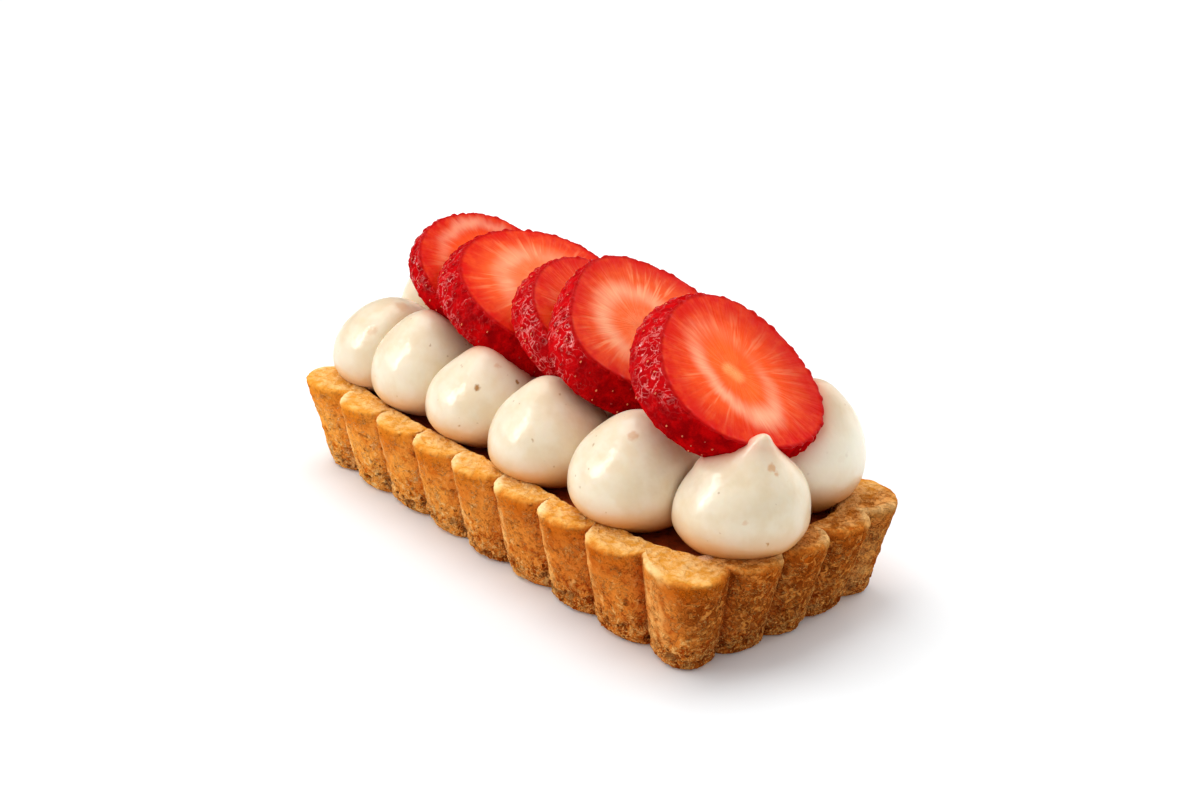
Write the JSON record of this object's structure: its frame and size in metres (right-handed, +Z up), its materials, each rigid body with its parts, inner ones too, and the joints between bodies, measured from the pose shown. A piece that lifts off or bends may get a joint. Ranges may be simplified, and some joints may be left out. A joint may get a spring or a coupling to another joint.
{
  "type": "strawberry tart",
  "caption": "Long fluted shortcrust tart with a dark filling, two rows of piped cream drops and a row of leaning strawberry slices on top.",
  "frame": {"origin": "on the table, under the middle of the case's rectangle", "axes": "+X along the case, towards the end that the strawberry slices' cut faces look to, +Y across the case, +Z up"},
  "size_m": [0.1079, 0.0478, 0.0458],
  "materials": {
    "pastry": null,
    "filling": null,
    "cream": null,
    "strawberry": null
  },
  "bodies": {
    "root": {"tart_shell": "pastry", "filling": "filling", "cream_front_1": "cream", "cream_front_2": "cream", "cream_front_3": "cream", "cream_front_4": "cream", "cream_front_5": "cream", "cream_front_6": "cream", "cream_back_1": "cream", "cream_back_2": "cream", "cream_back_3": "cream", "cream_back_4": "cream", "cream_back_5": "cream", "cream_back_6": "cream", "strawberry_slice_1": "strawberry", "strawberry_slice_2": "strawberry", "strawberry_slice_3": "strawberry", "strawberry_slice_4": "strawberry", "strawberry_slice_5": "strawberry"}
  },
  "joints": []
}
